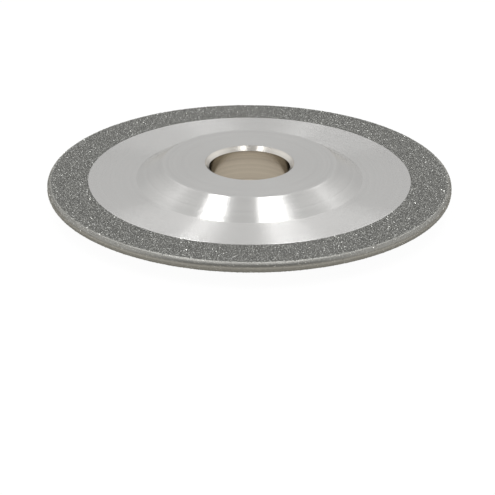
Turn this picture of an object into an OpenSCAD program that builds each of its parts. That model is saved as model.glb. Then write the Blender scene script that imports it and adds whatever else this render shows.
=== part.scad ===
// Electroplated diamond grinding wheel: a thin turned disc with a low conical hub on each
// side, a sleeved bore, and a nickel bond full of diamond crystals round the rim.
// The wheel's axis is +Z and the origin is the wheel's centre, half-way through its width.

/* [Wheel] */
// Outside diameter over the crystals
wheel_d = 100; // [90:1:125]
// Width of the whole wheel, from one hub face to the other
wheel_w = 10; // [9:0.5:14]
// Thickness of the thin rim over the crystals of both faces
rim_t = 2.8; // [2.4:0.1:4]
// Height of the straight band between the rounded corners of the core's rim
rim_flat = 0.4; // [0.1:0.1:0.8]

/* [Hub] */
// Diameter of the flat clamping face at each end of the hub
hub_face_d = 43; // [36:1:48]
// Diameter at which the hub's cone runs out on the disc
hub_base_d = 56; // [50:1:62]

/* [Bore] */
// Diameter of the bore
bore_d = 20; // [12:1:22]
// Leg of the 45 degree chamfer at each end of the bore
bore_chamfer = 1.05; // [0.5:0.05:1.5]

/* [Abrasive] */
// Radial width of the coated ring on each face
ring_w = 10; // [6:1:12]
// Thickness of the nickel bond
bond_t = 0.1; // [0.1:0.05:0.2]
// Height of the crystals above the bond
crystal_proud = 0.1; // [0.1:0.05:0.2]
// Width of one crystal across its corners
crystal_d = 0.5; // [0.3:0.1:0.7]
// Circles of crystals on each face
face_rows = 5; // [3:1:6]
// Crystals in each circle on a face
face_row_count = 48; // [24:12:72]
// Circles of crystals round the edge
edge_rows = 3; // [3:2:5]
// Crystals in each circle round the edge
edge_row_count = 48; // [24:12:84]

/* [Hidden] */
$fn = 180;

bond_r = wheel_d / 2 - crystal_proud;
bond_rim_t = rim_t - 2 * crystal_proud;
core_r = bond_r - bond_t;
core_t = bond_rim_t - 2 * bond_t;
core_corner_r = (core_t - rim_flat) / 2;
bond_corner_r = core_corner_r + bond_t;
ring_inner_r = wheel_d / 2 - ring_w;
bush_r = bore_d / 2 + bore_chamfer;
// Bare bond left between the outermost crystals and the borders of the coating
row_margin = 0.6;
// Each circle of crystals is turned on from the one before by this share of its spacing
row_turn = 0.618;
// Spin of one crystal after the next, so that neighbours don't line up
crystal_spin = 47;
// Tilt of the highest circle of edge crystals out of the plane of the wheel
edge_reach = 40;

// Half outline of a disc of radius r and thickness t with both rim corners rounded.
module disc_outline(r, t, corner_r) {
    translate([0, -t / 2]) square([r - corner_r, t]);
    translate([0, corner_r - t / 2]) square([r, t - 2 * corner_r]);
    for (side = [-1, 1])
        translate([r - corner_r, side * (t / 2 - corner_r)]) circle(corner_r, $fn = 48);
}

// Half outline of the hub: two flat faces and the cones that run out on the disc.
module hub_outline() {
    polygon([
        [0, -wheel_w / 2], [hub_face_d / 2, -wheel_w / 2], [hub_base_d / 2, -bond_rim_t / 2],
        [hub_base_d / 2, bond_rim_t / 2], [hub_face_d / 2, wheel_w / 2], [0, wheel_w / 2]
    ]);
}

// The part of one blocky crystal that stands out of the bond.
module crystal(spin) {
    rotate(spin) cylinder(h = crystal_proud, d = crystal_d, $fn = 6);
}

// The crystals of the upper face, in circles that are spread over the coated ring.
module face_crystals() {
    first_r = ring_inner_r + row_margin;
    row_step = (bond_r - bond_corner_r - row_margin - first_r) / (face_rows - 1);
    for (row = [0 : face_rows - 1], i = [0 : face_row_count - 1])
        rotate((i + row * row_turn) * 360 / face_row_count)
            translate([first_r + row * row_step, 0, bond_rim_t / 2])
                crystal(i * crystal_spin);
}

// The crystals round the edge, in circles on its middle and on its two rounded corners.
module edge_crystals() {
    last_row = (edge_rows - 1) / 2;
    for (row = [-last_row : last_row], i = [0 : edge_row_count - 1]) {
        tilt = edge_reach * row / last_row;
        corner_z = sign(row) * (bond_rim_t / 2 - bond_corner_r);
        rotate((i + row * row_turn) * 360 / edge_row_count)
            translate([bond_r - bond_corner_r, 0, corner_z])
                rotate([0, 90 - tilt, 0])
                    translate([0, 0, bond_corner_r]) crystal(i * crystal_spin);
    }
}

// Turned aluminium body with the seat of the bush through its middle. The rim is turned down by
// the thickness of the bond, so that the bond is flush with the bare face inside the ring.
module wheel_core() {
    color("gainsboro") rotate_extrude()
        difference() {
            union() {
                disc_outline(core_r, core_t, core_corner_r);
                translate([0, -bond_rim_t / 2]) square([ring_inner_r, bond_rim_t]);
                hub_outline();
            }
            translate([0, -wheel_w]) square([bush_r, 2 * wheel_w]);
        }
}

// Steel sleeve pressed into the core. Its chamfers run out to its outer wall.
module bore_bush() {
    color("rosybrown") rotate_extrude()
        polygon([
            [bore_d / 2, bore_chamfer - wheel_w / 2], [bush_r, -wheel_w / 2],
            [bush_r, wheel_w / 2], [bore_d / 2, wheel_w / 2 - bore_chamfer]
        ]);
}

// Nickel deposited on both faces of the rim and round its edge in one shell.
module nickel_bond() {
    color("dimgray") rotate_extrude()
        difference() {
            disc_outline(bond_r, bond_rim_t, bond_corner_r);
            disc_outline(core_r, core_t, core_corner_r);
            translate([0, -rim_t]) square([ring_inner_r, 2 * rim_t]);
        }
}

module face_grit() {
    color("darkseagreen") face_crystals();
}

module edge_grit() {
    color("darkseagreen") edge_crystals();
}

module back_grit() {
    color("darkseagreen") mirror([0, 0, 1]) face_crystals();
}

wheel_core();
bore_bush();
nickel_bond();
face_grit();
edge_grit();
back_grit();
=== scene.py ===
"""Looks of the diamond grinding wheel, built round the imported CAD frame.

The wheel lies flat with its axis along +Z. Every piece is turned or scattered round that axis
from the sizes of the CAD nodes, so a change of the CAD model carries through.
"""

import math

import bpy
import numpy as np
from mathutils import Matrix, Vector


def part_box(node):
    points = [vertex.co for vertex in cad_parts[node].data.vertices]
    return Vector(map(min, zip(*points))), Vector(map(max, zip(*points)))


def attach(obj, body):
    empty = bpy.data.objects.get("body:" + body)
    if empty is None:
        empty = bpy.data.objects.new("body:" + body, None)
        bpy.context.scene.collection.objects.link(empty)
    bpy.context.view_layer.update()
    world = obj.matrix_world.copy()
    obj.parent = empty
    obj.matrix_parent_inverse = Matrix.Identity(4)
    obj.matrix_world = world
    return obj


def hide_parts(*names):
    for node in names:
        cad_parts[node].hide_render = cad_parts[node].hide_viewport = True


MM = 0.001
SEED = 41
BORDER_SEED = SEED + 9

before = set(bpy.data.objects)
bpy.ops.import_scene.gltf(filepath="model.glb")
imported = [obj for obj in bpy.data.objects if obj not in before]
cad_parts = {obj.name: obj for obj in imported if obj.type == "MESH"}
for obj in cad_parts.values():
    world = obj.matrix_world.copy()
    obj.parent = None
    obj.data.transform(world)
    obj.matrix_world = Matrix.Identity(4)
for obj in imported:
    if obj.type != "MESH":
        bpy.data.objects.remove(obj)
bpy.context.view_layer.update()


# ---------------------------------------------------------------- sizes, taken from the frame

SAME_LENGTH = 1e-6


def profile(cad_node):
    """Distances from the axis and heights of the points of a CAD node."""
    places = [vertex.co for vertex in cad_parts[cad_node].data.vertices]
    distances = np.array([math.hypot(place.x, place.y) for place in places])
    heights = np.array([place.z for place in places])
    return distances, heights


def found_at(values, wanted, others):
    """The others that belong to the values equal to the wanted one."""
    return others[np.abs(values - wanted) < SAME_LENGTH]


core_distances, core_heights = profile("wheel_core")
bush_distances, _ = profile("bore_bush")
bond_distances, bond_heights = profile("nickel_bond")

HALF_WIDTH = core_heights.max()
BORE_R, BUSH_R = bush_distances.min(), bush_distances.max()
CORE_R = core_distances.max()
RING_INNER_R, BOND_R = bond_distances.min(), bond_distances.max()
BOND_T = BOND_R - CORE_R
BOND_Z = bond_heights.max()
CORE_Z = BOND_Z - BOND_T
RING_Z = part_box("face_grit")[1].z
PROUD = RING_Z - BOND_Z
CHAMFER = BUSH_R - BORE_R
HUB_FACE_R = found_at(core_heights, HALF_WIDTH, core_distances).max()
HUB_BASE_R = found_at(core_heights, BOND_Z, core_distances).min()
CORE_CORNER = CORE_Z - found_at(core_distances, CORE_R, core_heights).max()
BOND_CORNER = CORE_CORNER + BOND_T

# Fine sizes that the CAD leaves out: the groove that the coating was masked off along, how far
# the bond and its crystals creep in over that groove, and how the bond's border wanders.
GROOVE_W = 0.30 * MM
GROOVE_DEPTH = 0.06 * MM
BOND_CREEP = 0.10 * MM
GRIT_CREEP = 0.06 * MM
BORDER_WANDER = 0.018 * MM
BORDER_REACH = 0.5 * MM
BORDER_FADE = 0.3 * MM
# Waves round that border, from broad to fine.
BORDER_WAVES = (5, 9, 17, 31, 58, 103, 190, 340)

# The rim is rubbed bright where its surface slopes by more than this from the wheel's plane.
WORN_SLOPE = math.radians(15)


# ---------------------------------------------------------------- turned shapes

FILLET_STEPS = 7


def unit(vector):
    return vector / np.linalg.norm(vector)


def unit_rows(rows):
    return rows / np.linalg.norm(rows, axis=1, keepdims=True)


def filleted(corners):
    """Points and outward normals of a closed half outline, each corner rounded by an arc.

    corners run counter-clockwise in the (r, z) plane as (r, z, fillet radius).
    """
    points, normals = [], []
    places = [np.array(corner[:2]) for corner in corners]
    for i, (_, _, fillet) in enumerate(corners):
        here = places[i]
        edge_in = unit(here - places[i - 1])
        edge_out = unit(places[(i + 1) % len(places)] - here)
        normal_in = np.array([edge_in[1], -edge_in[0]])
        normal_out = np.array([edge_out[1], -edge_out[0]])
        turn = edge_in[0] * edge_out[1] - edge_in[1] * edge_out[0]
        side = 1 if turn > 0 else -1
        together = normal_in + normal_out
        centre = here - side * fillet * together / (1 + normal_in @ normal_out)
        for step in range(FILLET_STEPS + 1):
            share = step / FILLET_STEPS
            normal = unit(normal_in * (1 - share) + normal_out * share)
            points.append(centre + side * fillet * normal)
            normals.append(normal)
    return np.array(points), np.array(normals)


def with_mirror(upper):
    """Corners of a whole outline, from those of its upper half listed from the axis outwards."""
    lower = [(r, -z, fillet) for r, z, fillet in upper]
    return lower + upper[::-1]


def turned_mesh(name, outline, segments, ragged=None):
    """Mesh made by turning a closed outline round the Z axis, with normals from the outline.

    ragged(r, angle) may return a changed r.
    """
    points, normals = outline
    rows = len(points)
    angle = (np.arange(segments) * 2 * math.pi / segments)[:, None]
    cos, sin = np.cos(angle), np.sin(angle)
    z = np.broadcast_to(points[:, 1], (segments, rows))
    r = np.broadcast_to(points[:, 0], (segments, rows))
    if ragged is not None:
        r = ragged(r, angle)
    place = np.stack([r * cos, r * sin, z], axis=-1)
    lean = np.broadcast_to(normals[:, 1], (segments, rows))
    facing = np.stack([normals[:, 0] * cos, normals[:, 0] * sin, lean], axis=-1)
    ring = np.arange(segments)[:, None] * rows
    next_ring = np.roll(ring, -1, axis=0)
    row = np.arange(rows)[None, :]
    next_row = np.roll(row, -1)
    quads = np.stack(
        [ring + row, next_ring + row, next_ring + next_row, ring + next_row], axis=-1)
    mesh = bpy.data.meshes.new(name)
    mesh.from_pydata(place.reshape(-1, 3).tolist(), [], quads.reshape(-1, 4).tolist())
    mesh.shade_smooth()
    mesh.normals_split_custom_set_from_vertices(facing.reshape(-1, 3).tolist())
    return mesh


def core_outline():
    """The aluminium core, with a fine turned groove that the coating was masked off along."""
    upper = [
        (BUSH_R, HALF_WIDTH, 0.02 * MM),
        (HUB_FACE_R, HALF_WIDTH, 0.08 * MM),
        (HUB_BASE_R, BOND_Z, 0.05 * MM),
        (RING_INNER_R - GROOVE_W, BOND_Z, 0.03 * MM),
        (RING_INNER_R, BOND_Z - GROOVE_DEPTH, 0.01 * MM),
        (RING_INNER_R, CORE_Z, 0.01 * MM),
        (CORE_R, CORE_Z, CORE_CORNER),
    ]
    return filleted(with_mirror(upper))


def bush_outline():
    """The sleeve, with a chamfer at each end of the bore."""
    upper = [
        (BORE_R, HALF_WIDTH - CHAMFER, 0.12 * MM),
        (BUSH_R, HALF_WIDTH, 0.03 * MM),
    ]
    return filleted(with_mirror(upper))


def bond_outline():
    """One shell of even thickness, round both faces and the edge of the rim."""
    outer = [
        (RING_INNER_R, CORE_Z, 0.002 * MM),
        (RING_INNER_R, BOND_Z, 0.03 * MM),
        (BOND_R, BOND_Z, BOND_CORNER),
    ]
    inner = [(CORE_R, CORE_Z, CORE_CORNER), (CORE_R, -CORE_Z, CORE_CORNER)]
    return filleted(with_mirror(outer) + inner)


def ragged_border(r, angle):
    """The bond creeps in over the masked groove, to a wandering border."""
    rng = np.random.default_rng(BORDER_SEED)
    wander = np.zeros_like(angle)
    for waves in BORDER_WAVES:
        height = rng.uniform(0.5, 1)
        phase = rng.uniform(0, 6.28)
        wander = wander + height * np.sin(waves * angle + phase)
    near = np.clip((RING_INNER_R + BORDER_REACH - r) / BORDER_FADE, 0, 1)
    return r + near * (BORDER_WANDER * wander - BOND_CREEP)


# ---------------------------------------------------------------- coated areas

class FlatRing:
    """The flat coated ring of one face; side is 1 for the upper face and -1 for the lower.

    Called with a length out from its inner border, it gives the radius, the height, and the
    outward and upward share of the normal there.
    """

    def __init__(self, side, inner, outer):
        self.side, self.inner, self.length = side, inner, outer - inner

    def __call__(self, s):
        s = np.asarray(s, float)
        zero = np.zeros_like(s)
        return self.inner + s, zero + self.side * BOND_Z, zero, zero + self.side


class RimEdge:
    """The rim's outline from start to stop, as lengths from where its upper corner begins.

    It is a quarter of a circle, a short straight edge and another quarter. Called with a length
    from its start, it gives the same as a FlatRing.
    """

    arc = BOND_CORNER * math.pi / 2
    straight = 2 * (BOND_Z - BOND_CORNER)
    whole = 2 * arc + straight

    def __init__(self, start, stop):
        self.start, self.length = start, stop - start

    def __call__(self, s):
        s = self.start + np.asarray(s, float)
        upper = np.clip(s / self.arc, 0, 1) * math.pi / 2
        lower = np.clip((s - self.arc - self.straight) / self.arc, 0, 1) * math.pi / 2
        out = np.sin(upper) * np.cos(lower)
        up = np.cos(upper) - np.sin(lower)
        fall = np.clip(s - self.arc, 0, self.straight)
        r = BOND_R - BOND_CORNER + BOND_CORNER * out
        z = BOND_Z - BOND_CORNER + BOND_CORNER * up - fall
        return r, z, out, up


# ---------------------------------------------------------------- abrasive crystals

# Corners and triangles of the two crystal shapes, for a crystal about two units across.
CUBE = np.array([(x, y, z) for x in (-1, 1) for y in (-1, 1) for z in (-1, 1)]) * 0.56
CUBE_FACES = np.array([
    (0, 1, 3), (0, 3, 2), (4, 6, 7), (4, 7, 5), (0, 4, 5), (0, 5, 1),
    (2, 3, 7), (2, 7, 6), (0, 2, 6), (0, 6, 4), (1, 5, 7), (1, 7, 3)])
OCTAHEDRON = np.array(
    [(1, 0, 0), (-1, 0, 0), (0, 1, 0), (0, -1, 0), (0, 0, 1), (0, 0, -1)]) * 0.95
OCTAHEDRON_FACES = np.array([
    (0, 2, 4), (2, 1, 4), (1, 3, 4), (3, 0, 4), (2, 0, 5), (1, 2, 5), (3, 1, 5), (0, 3, 5)])

# How the crystals lie: their spacing and size, how far they are tipped over, the range of their
# rise as shares of PROUD, the share of cubes, the share of each of the CRYSTAL_LOOKS, and the
# share that is missing on the rim's side.
FACE_COAT = {
    "pitch": 0.40 * MM, "size": 0.50 * MM, "tumble": 1.3, "rise": (0.45, 0.98), "blocky": 0.45,
    "looks": (0.46, 0.23, 0.20, 0.11, 0.0), "missing": 0.0,
}
EDGE_COAT = {
    "pitch": 0.36 * MM, "size": 0.28 * MM, "tumble": 0.38, "rise": (0.2, 0.98), "blocky": 0.8,
    "looks": (0.10, 0.06, 0.18, 0.30, 0.36), "missing": 0.45,
}
# The rim's side begins where its rounded corner has fallen by this share of the corner's radius.
SIDE_FROM = 0.5
SIZE_SPREAD = (0.7, 1.15)
CORNER_SPREAD = (0.82, 1.12)
# A crystal is squeezed until its top is at most this many times its rise above its middle.
MOST_HALF_HEIGHT = 1.9


def scatter(rng, along, pitch):
    """Places and normals spread over a coated area, one to each patch of about pitch by pitch."""
    places, normals = [], []
    rows = max(1, round(along.length / pitch))
    for row in range(rows):
        middle = (row + 0.5) / rows * along.length
        count = round(2 * math.pi * along(middle)[0] / pitch)
        s = middle + rng.uniform(-0.5, 0.5, count) * along.length / rows
        angle = (np.arange(count) + rng.uniform(-0.45, 0.45, count)) * 2 * math.pi / count
        r, z, out, up = along(s)
        cos, sin = np.cos(angle), np.sin(angle)
        places.append(np.stack([r * cos, r * sin, z], axis=-1))
        normals.append(np.stack([out * cos, out * sin, up], axis=-1))
    return np.concatenate(places), np.concatenate(normals)


def standing_turns(rng, normals, tumble):
    """Rotations that stand a crystal on the surface, spun at random and tipped by tumble."""
    count = len(normals)
    quaternions = np.column_stack([np.ones(count), tumble * rng.normal(size=(count, 3))])
    w, x, y, z = unit_rows(quaternions).T
    tipped = np.stack([
        1 - 2 * (y * y + z * z), 2 * (x * y - z * w), 2 * (x * z + y * w),
        2 * (x * y + z * w), 1 - 2 * (x * x + z * z), 2 * (y * z - x * w),
        2 * (x * z - y * w), 2 * (y * z + x * w), 1 - 2 * (x * x + y * y),
    ], axis=-1).reshape(count, 3, 3)
    side = unit_rows(np.cross(normals, rng.normal(size=(count, 3))))
    standing = np.stack([side, np.cross(normals, side), normals], axis=-1)
    return standing @ tipped


def sunk(crystals, normals, rises):
    """The crystals' corners, sunk until the top of each one stands out of the bond by its rise."""
    normal = normals[:, None, :]
    rise = rises[:, None]
    height = (crystals * normal).sum(-1)
    top = height.max(axis=1, keepdims=True)
    squeeze = np.minimum(1, MOST_HALF_HEIGHT * rise / top)
    wanted = (height - top) * squeeze + rise
    return crystals + normal * (wanted - height)[..., None]


def crystal_patch(rng, along, coat, start):
    """Vertices, triangles and looks of the crystals on one area.

    start is the number of the first vertex. Crystals stand out of the bond by PROUD at most.
    """
    places, normals = scatter(rng, along, coat["pitch"])
    on_side = np.abs(places[:, 2]) < BOND_Z - SIDE_FROM * BOND_CORNER
    present = rng.random(len(places)) >= coat["missing"] * on_side
    places, normals = places[present], normals[present]
    count = len(places)
    sizes = coat["size"] / 2 * rng.uniform(*SIZE_SPREAD, count)
    turns = standing_turns(rng, normals, coat["tumble"])
    rises = PROUD * rng.uniform(*coat["rise"], count)
    blocky = rng.random(count) < coat["blocky"]
    looks = np.searchsorted(np.cumsum(coat["looks"]), rng.random(count))
    vertices, faces, slots = [], [], []
    for shape, shape_faces, chosen in (
            (CUBE, CUBE_FACES, blocky), (OCTAHEDRON, OCTAHEDRON_FACES, ~blocky)):
        number = int(chosen.sum())
        uneven = rng.uniform(*CORNER_SPREAD, (number, len(shape), 1))
        crystals = np.einsum("nij,nvj->nvi", turns[chosen], shape[None] * uneven)
        crystals *= sizes[chosen][:, None, None]
        crystals = sunk(crystals, normals[chosen], rises[chosen])
        vertices.append((crystals + places[chosen][:, None, :]).reshape(-1, 3))
        first = start + (np.arange(number) * len(shape))[:, None, None]
        faces.append((first + shape_faces[None]).reshape(-1, 3))
        slots.append(np.repeat(looks[chosen], len(shape_faces)))
        start += number * len(shape)
    return np.concatenate(vertices), np.concatenate(faces), np.concatenate(slots)


def crystal_mesh(name, areas, seed):
    """Separate faceted crystals on each area, given as its outline and its coat."""
    rng = np.random.default_rng(seed)
    vertices, faces, slots = [], [], []
    start = 0
    for along, coat in areas:
        patch = crystal_patch(rng, along, coat, start)
        start += len(patch[0])
        for whole, part in zip((vertices, faces, slots), patch):
            whole.append(part)
    mesh = bpy.data.meshes.new(name)
    mesh.from_pydata(np.concatenate(vertices).tolist(), [], np.concatenate(faces).tolist())
    mesh.polygons.foreach_set("material_index", np.concatenate(slots).astype(np.int32))
    mesh.shade_flat()
    return mesh


# ---------------------------------------------------------------- shader nodes

# The range that holds nearly all the values of a noise.
NOISE_RANGE = (0.3, 0.7)
# About the distance between the feed marks of the lathe.
FEED_PITCH = 0.025 * MM
# The feed marks change with the radius and, so that a wall has them too, with this share of the
# height.
FEED_BY_HEIGHT = 0.7
STREAK = 0.9 * MM


class Shading:
    """Node tree of one material or world, with short ways to add nodes and join them.

    Apart from join and add, each method returns the output of what it adds.
    """

    def __init__(self, tree):
        self.nodes, self.links = tree.nodes, tree.links

    def join(self, made, sources):
        """Link an output to each input of a node that is given by its name or number."""
        for place, source in sources.items():
            self.links.new(source, made.inputs[place])

    def add(self, kind, sources=None, **values):
        """A new node, with sources to join and with values for its properties or inputs.

        The spaces of an input's name are written as underscores.
        """
        made = self.nodes.new(kind)
        for name, value in values.items():
            if hasattr(made, name):
                setattr(made, name, value)
            else:
                made.inputs[name.replace("_", " ")].default_value = value
        self.join(made, sources or {})
        return made

    def place(self):
        """Where the shaded point is, from the wheel's centre."""
        return self.add("ShaderNodeTexCoord").outputs["Object"]

    def numbers(self, operation, *sources):
        made = self.add("ShaderNodeMath", dict(enumerate(sources)), operation=operation)
        return made.outputs["Value"]

    def vectors(self, operation, *sources):
        made = self.add("ShaderNodeVectorMath", dict(enumerate(sources)), operation=operation)
        return made.outputs["Vector"]

    def radius(self):
        """Distance from the wheel's axis."""
        flat = self.add("ShaderNodeVectorMath", {0: self.place()}, operation="MULTIPLY")
        flat.inputs[1].default_value = (1, 1, 0)
        length = self.add(
            "ShaderNodeVectorMath", {0: flat.outputs["Vector"]}, operation="LENGTH")
        return length.outputs["Value"]

    def groove_noise(self, pitch, detail=2.0):
        """Noise that changes only across the feed marks: with the radius and the height."""
        height = self.add("ShaderNodeSeparateXYZ", {"Vector": self.place()})
        feed = self.add(
            "ShaderNodeMath", {0: height.outputs["Z"], 2: self.radius()},
            operation="MULTIPLY_ADD")
        feed.inputs[1].default_value = FEED_BY_HEIGHT
        noise = self.add(
            "ShaderNodeTexNoise", {"W": feed.outputs["Value"]}, noise_dimensions="1D",
            Scale=1 / pitch, Detail=detail)
        return noise.outputs["Fac"]

    def cloud_noise(self, size, detail=3.0):
        noise = self.add(
            "ShaderNodeTexNoise", {"Vector": self.place()}, Scale=1 / size, Detail=detail)
        return noise.outputs["Fac"]

    def mapped(self, source, ends, results, **settings):
        """The source's range between two ends, mapped to the range between two results."""
        made = self.add(
            "ShaderNodeMapRange", {"Value": source}, From_Min=ends[0], From_Max=ends[1],
            To_Min=results[0], To_Max=results[1], **settings)
        return made.outputs["Result"]

    def smoothed(self, source, ends, results):
        return self.mapped(source, ends, results, interpolation_type="SMOOTHSTEP")

    def tint(self, noise, dark, light):
        """A colour between dark and light by a noise."""
        made = self.add("ShaderNodeValToRGB", {"Fac": noise})
        stops = made.color_ramp.elements
        for stop, position, colour in zip(stops, NOISE_RANGE, (dark, light)):
            stop.position = position
            stop.color = (*colour, 1)
        return made.outputs["Color"]

    def bump(self, height, distance, strength):
        made = self.add(
            "ShaderNodeBump", {"Height": height}, Strength=strength, Distance=distance)
        return made.outputs["Normal"]

    def grooved_normal(self, tangent, lean, slope):
        """The surface normal, leaned to and fro by up to lean across the circular feed marks.

        slope is the mean lean, for marks that are steeper on one side. On the upper face it
        leans away from the axis.
        """
        normal = self.add("ShaderNodeNewGeometry").outputs["Normal"]
        swing = self.mapped(
            self.groove_noise(FEED_PITCH), (0, 1), (slope - lean, slope + lean), clamp=False)
        across = self.vectors("CROSS_PRODUCT", tangent, normal)
        leaned = self.add(
            "ShaderNodeVectorMath", {0: across, "Scale": swing}, operation="SCALE")
        return self.vectors("NORMALIZE", self.vectors("ADD", normal, leaned.outputs["Vector"]))


# ---------------------------------------------------------------- materials

def new_material(name, **inputs):
    """A material, its main shader with the inputs set, and the Shading of its node tree."""
    material = bpy.data.materials.new(name)
    material.use_nodes = True
    shader = material.node_tree.nodes["Principled BSDF"]
    for key, value in inputs.items():
        shader.inputs[key.replace("_", " ")].default_value = value
    return material, shader, Shading(material.node_tree)


def turned_metal(
        name, dark, light, roughness, anisotropy, groove_lean, streak=STREAK, slope=0.0,
        grazing=1.0):
    """Metal cut on a lathe: its gloss is drawn out across the fine circular feed marks.

    The colour varies from dark to light in streaks that follow the marks, and the roughness
    varies over its range in wide patches. grazing dims what the metal mirrors at a low angle,
    as a dull surface does.
    """
    material, shader, shading = new_material(
        name, Metallic=1, Anisotropic=anisotropy, Anisotropic_Rotation=0.25,
        Specular_Tint=(grazing, grazing, grazing, 1))
    tangent = shading.add("ShaderNodeTangent", direction_type="RADIAL", axis="Z")
    along_marks = tangent.outputs["Tangent"]
    streaks = shading.groove_noise(streak, detail=4.0)
    patches = shading.cloud_noise(size=9 * MM)
    shading.join(shader, {
        "Tangent": along_marks,
        "Base Color": shading.tint(streaks, dark, light),
        "Roughness": shading.mapped(patches, NOISE_RANGE, roughness),
        "Normal": shading.grooved_normal(along_marks, groove_lean, slope),
    })
    return material


def face_aluminium():
    return turned_metal(
        "turned_face_aluminium", (0.855, 0.85, 0.84), (0.875, 0.87, 0.86),
        roughness=(0.215, 0.235), anisotropy=0.98, groove_lean=0.8, slope=0.035)


def cone_aluminium():
    return turned_metal(
        "turned_cone_aluminium", (0.79, 0.785, 0.775), (0.83, 0.825, 0.815),
        roughness=(0.195, 0.215), anisotropy=0.9, groove_lean=0.3)


def hub_aluminium():
    return turned_metal(
        "faced_hub_aluminium", (0.81, 0.805, 0.795), (0.84, 0.835, 0.825),
        roughness=(0.20, 0.22), anisotropy=0.6, groove_lean=0.12)


# The bore wall's steel gets a much darker colour than the same steel on its chamfers. The warm
# tone is the steel's own; the darkness is painted shade for the inside of the bore.
def bush_wall_painted_shade():
    return turned_metal(
        "bored_steel_painted_shade", (0.36, 0.331, 0.288), (0.425, 0.392, 0.34),
        roughness=(0.12, 0.15), anisotropy=0.7, groove_lean=0.08, grazing=0.5)


# The chamfers' steel gets a much lighter colour than the same steel in the bore. This is painted
# light for the chamfer that faces up towards the lamps.
def bush_chamfer_painted_light():
    return turned_metal(
        "chamfered_steel_painted_light", (0.72, 0.69, 0.645), (0.78, 0.75, 0.70),
        roughness=(0.24, 0.28), anisotropy=0.9, groove_lean=0.3)


def worn_nickel():
    """The plating of the edge, rubbed bright in fine streaks that run round the wheel."""
    return turned_metal(
        "worn_nickel", (0.34, 0.338, 0.32), (0.53, 0.528, 0.50),
        roughness=(0.38, 0.44), anisotropy=0.2, groove_lean=0.25, streak=0.3 * MM, grazing=0.6)


def nickel():
    """Matt grey plating with fine nodules."""
    material, shader, shading = new_material("plated_nickel", Metallic=0.8)
    patches = shading.cloud_noise(size=1.4 * MM, detail=5.0)
    nodules = shading.cloud_noise(size=0.11 * MM, detail=2.0)
    shading.join(shader, {
        "Base Color": shading.tint(patches, (0.115, 0.115, 0.108), (0.195, 0.195, 0.182)),
        "Roughness": shading.mapped(patches, NOISE_RANGE, (0.42, 0.6)),
        "Normal": shading.bump(nodules, distance=0.05 * MM, strength=0.9),
    })
    return material


# Colour, metal share and roughness for each look of crystal.
CRYSTAL_LOOKS = {
    "diamond_grey": ((0.29, 0.293, 0.269), 0.0, 0.24),
    "diamond_dark": ((0.14, 0.141, 0.129), 0.0, 0.30),
    "diamond_pale": ((0.54, 0.545, 0.51), 0.0, 0.18),
    "diamond_bright": ((0.72, 0.73, 0.69), 0.8, 0.16),
    "diamond_plated": ((0.56, 0.54, 0.49), 0.95, 0.28),
}
DIAMOND_IOR = 2.4


def crystal_materials():
    made = []
    for name, (colour, metal, roughness) in CRYSTAL_LOOKS.items():
        material, _, _ = new_material(
            name, Base_Color=(*colour, 1), Metallic=metal, Roughness=roughness, IOR=DIAMOND_IOR)
        made.append(material)
    return made


# ---------------------------------------------------------------- pieces

def add_piece(mesh, cad_node, materials):
    """Put a mesh in the scene as a piece of the same name that stands for a CAD node."""
    piece = bpy.data.objects.new(mesh.name, mesh)
    bpy.context.scene.collection.objects.link(piece)
    for material in materials:
        mesh.materials.append(material)
    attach(piece, "root")
    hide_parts(cad_node)


def build_core():
    """The core; its faces between the disc and the hub's flat face are the cone."""
    mesh = turned_mesh("turned_wheel_core", core_outline(), segments=720)
    cone_from = BOND_Z + 0.03 * MM
    hub_from = HALF_WIDTH - 0.01 * MM
    for face in mesh.polygons:
        height = abs(face.center.z)
        face.material_index = int(height > cone_from) + int(height > hub_from)
    metals = [face_aluminium(), cone_aluminium(), hub_aluminium()]
    add_piece(mesh, "wheel_core", metals)


def build_bush():
    mesh = turned_mesh("bore_bush_sleeve", bush_outline(), segments=480)
    for face in mesh.polygons:
        face.material_index = int(abs(face.center.z) > HALF_WIDTH - CHAMFER)
    # The bore wall takes the steel with painted shade; the chamfers take the steel with painted
    # light.
    add_piece(mesh, "bore_bush", [bush_wall_painted_shade(), bush_chamfer_painted_light()])


def build_bond():
    mesh = turned_mesh("nickel_bond_shell", bond_outline(), segments=1440, ragged=ragged_border)
    worn_from = BOND_R - BOND_CORNER * (1 - math.sin(WORN_SLOPE))
    for face in mesh.polygons:
        face.material_index = int(face.center.xy.length > worn_from)
    add_piece(mesh, "nickel_bond", [nickel(), worn_nickel()])


def build_grit():
    """Crystals on both faces and on the edge, which has rubbed ones between its shoulders."""
    looks = crystal_materials()
    inner = RING_INNER_R - GRIT_CREEP
    outer = BOND_R - BOND_CORNER
    shoulder = BOND_CORNER * WORN_SLOPE
    areas = {
        "face_grit": [(FlatRing(1, inner, outer), FACE_COAT)],
        "edge_grit": [
            (RimEdge(0, shoulder), FACE_COAT),
            (RimEdge(shoulder, RimEdge.whole - shoulder), EDGE_COAT),
            (RimEdge(RimEdge.whole - shoulder, RimEdge.whole), FACE_COAT),
        ],
        "back_grit": [(FlatRing(-1, inner, outer), FACE_COAT)],
    }
    for i, (cad_node, coated) in enumerate(areas.items()):
        mesh = crystal_mesh(cad_node + "_crystals", coated, SEED + i)
        add_piece(mesh, cad_node, looks)


# ---------------------------------------------------------------- stage, light and camera

FLOOR_HALF_SIDE = 3.0
FLOOR_GAP = 0.05 * MM
# How strongly the floor glows to the wheel, under the bore and away from it, and to the camera.
GLOW_UNDER_BORE = 0.64
GLOW_AWAY = 0.13
GLOW_TO_CAMERA = 0.96


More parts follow.
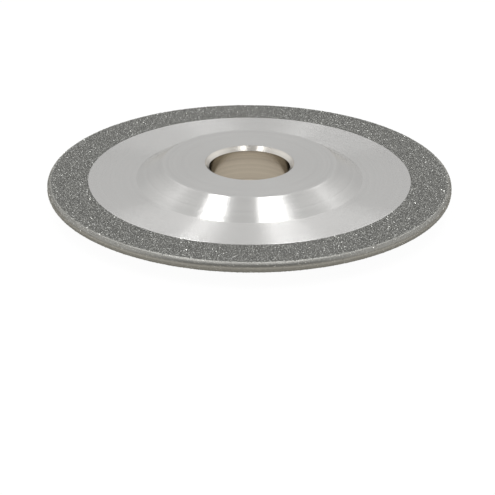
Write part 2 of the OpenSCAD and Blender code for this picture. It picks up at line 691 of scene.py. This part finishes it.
def floor_material():
    """Pale paper: white to the camera, duller to the wheel, and glowing under the bore."""
    material, paper, shading = new_material(
        "pale_floor", Roughness=0.9, Specular_IOR_Level=0.1, Emission_Color=(1.0, 0.945, 0.86, 1))
    fibres = shading.cloud_noise(size=0.6 * MM)
    glow = shading.smoothed(
        shading.radius(), (BUSH_R, HUB_FACE_R), (GLOW_UNDER_BORE, GLOW_AWAY))
    shading.join(paper, {
        "Base Color": shading.tint(fibres, (0.50, 0.48, 0.44), (0.52, 0.50, 0.46)),
        "Emission Strength": glow,
    })
    white = shading.add("ShaderNodeEmission", Strength=GLOW_TO_CAMERA)
    shaded = shading.add("ShaderNodeBsdfDiffuse", Color=(0.08, 0.08, 0.08, 1))
    backdrop = shading.add(
        "ShaderNodeAddShader", {0: shaded.outputs["BSDF"], 1: white.outputs["Emission"]})
    path = shading.add("ShaderNodeLightPath")
    seen = shading.add("ShaderNodeMixShader", {
        "Fac": path.outputs["Is Camera Ray"],
        1: paper.outputs["BSDF"],
        2: backdrop.outputs["Shader"],
    })
    shading.join(shading.nodes["Material Output"], {"Surface": seen.outputs["Shader"]})
    return material


def add_floor():
    mesh = bpy.data.meshes.new("floor")
    z = -HALF_WIDTH - FLOOR_GAP
    corners = [(x * FLOOR_HALF_SIDE, y * FLOOR_HALF_SIDE, z)
               for x, y in ((-1, -1), (1, -1), (1, 1), (-1, 1))]
    mesh.from_pydata(corners, [], [(0, 1, 2, 3)])
    mesh.materials.append(floor_material())
    floor = bpy.data.objects.new("floor", mesh)
    bpy.context.scene.collection.objects.link(floor)


CEILING = 0.70


def add_panel(name, x_span, y_span, radiance):
    """A soft ceiling panel that faces down and looks as bright as radiance, whatever its size."""
    data = bpy.data.lights.new(name, "AREA")
    data.shape = "RECTANGLE"
    data.size = x_span[1] - x_span[0]
    data.size_y = y_span[1] - y_span[0]
    data.energy = radiance * math.pi * data.size * data.size_y
    panel = bpy.data.objects.new(name, data)
    panel.location = (sum(x_span) / 2, sum(y_span) / 2, CEILING)
    bpy.context.scene.collection.objects.link(panel)


def add_lights():
    """Two long bright panels overhead with a gap between them, and smaller or dimmer ones."""
    add_panel("overhead_left", (-0.232, -0.186), (-0.30, 0.31), 8.0)
    add_panel("overhead_right", (0.065, 0.206), (-0.375, 0.42), 2.15)
    add_panel("front_left", (-0.330, -0.236), (-0.375, -0.25), 2.4)
    add_panel("behind_left", (-0.45, -0.07), (0.46, 0.85), 0.60)
    add_panel("behind_centre", (-0.07, 0.07), (0.46, 0.85), 0.34)
    add_panel("behind_right", (0.07, 0.50), (0.46, 0.85), 0.60)


# Brightness of the room at the horizon and overhead, and what it is multiplied by behind the
# camera and at both sides.
ROOM_LEVELS = (0.51, 0.575)
BEHIND_CAMERA = 0.48
AT_SIDES = 1.75


def add_world():
    """A pale room: brighter overhead and at both sides, and dim behind the camera."""
    world = bpy.data.worlds.new("studio")
    world.use_nodes = True
    shading = Shading(world.node_tree)
    direction = shading.add("ShaderNodeTexCoord").outputs["Generated"]
    split = shading.add("ShaderNodeSeparateXYZ", {"Vector": direction})
    height = shading.mapped(split.outputs["Z"], (0, 1), ROOM_LEVELS)
    depth = shading.smoothed(split.outputs["Y"], (-0.9, -0.3), (BEHIND_CAMERA, 1))
    sideways = shading.numbers("ABSOLUTE", split.outputs["X"])
    sides = shading.smoothed(sideways, (0.5, 0.75), (1, AT_SIDES))
    level = shading.numbers("MULTIPLY", height, shading.numbers("MULTIPLY", depth, sides))
    background = shading.nodes["Background"]
    background.inputs["Color"].default_value = (1.0, 0.995, 0.985, 1)
    shading.join(background, {"Strength": level})
    bpy.context.scene.world = world


# The camera stands this far from the middle of the upper ring face, at this angle above it.
CAMERA_DISTANCE = 465.3 * MM
CAMERA_ELEVATION = math.radians(23.1)
# It aims this far below that point, and is turned and rolled a little.
CAMERA_TILT_BELOW_AIM = math.radians(2.19)
CAMERA_YAW = math.radians(0.05)
CAMERA_ROLL = math.radians(0.38)
LENS_MM = 136.5
SENSOR_MM = 36


def add_camera():
    data = bpy.data.cameras.new("camera")
    data.lens = LENS_MM
    data.sensor_width = SENSOR_MM
    data.clip_start = 10 * MM
    camera = bpy.data.objects.new("camera", data)
    back = -CAMERA_DISTANCE * math.cos(CAMERA_ELEVATION)
    height = RING_Z + CAMERA_DISTANCE * math.sin(CAMERA_ELEVATION)
    pitch = math.pi / 2 - CAMERA_ELEVATION - CAMERA_TILT_BELOW_AIM
    camera.matrix_world = (
        Matrix.Translation((0, back, height))
        @ Matrix.Rotation(CAMERA_YAW, 4, "Z")
        @ Matrix.Rotation(pitch, 4, "X")
        @ Matrix.Rotation(CAMERA_ROLL, 4, "Z")
    )
    bpy.context.scene.collection.objects.link(camera)
    bpy.context.scene.camera = camera


add_camera()
build_core()
build_bush()
build_bond()
build_grit()
add_floor()
add_lights()
add_world()
bpy.context.scene.view_settings.view_transform = "Standard"
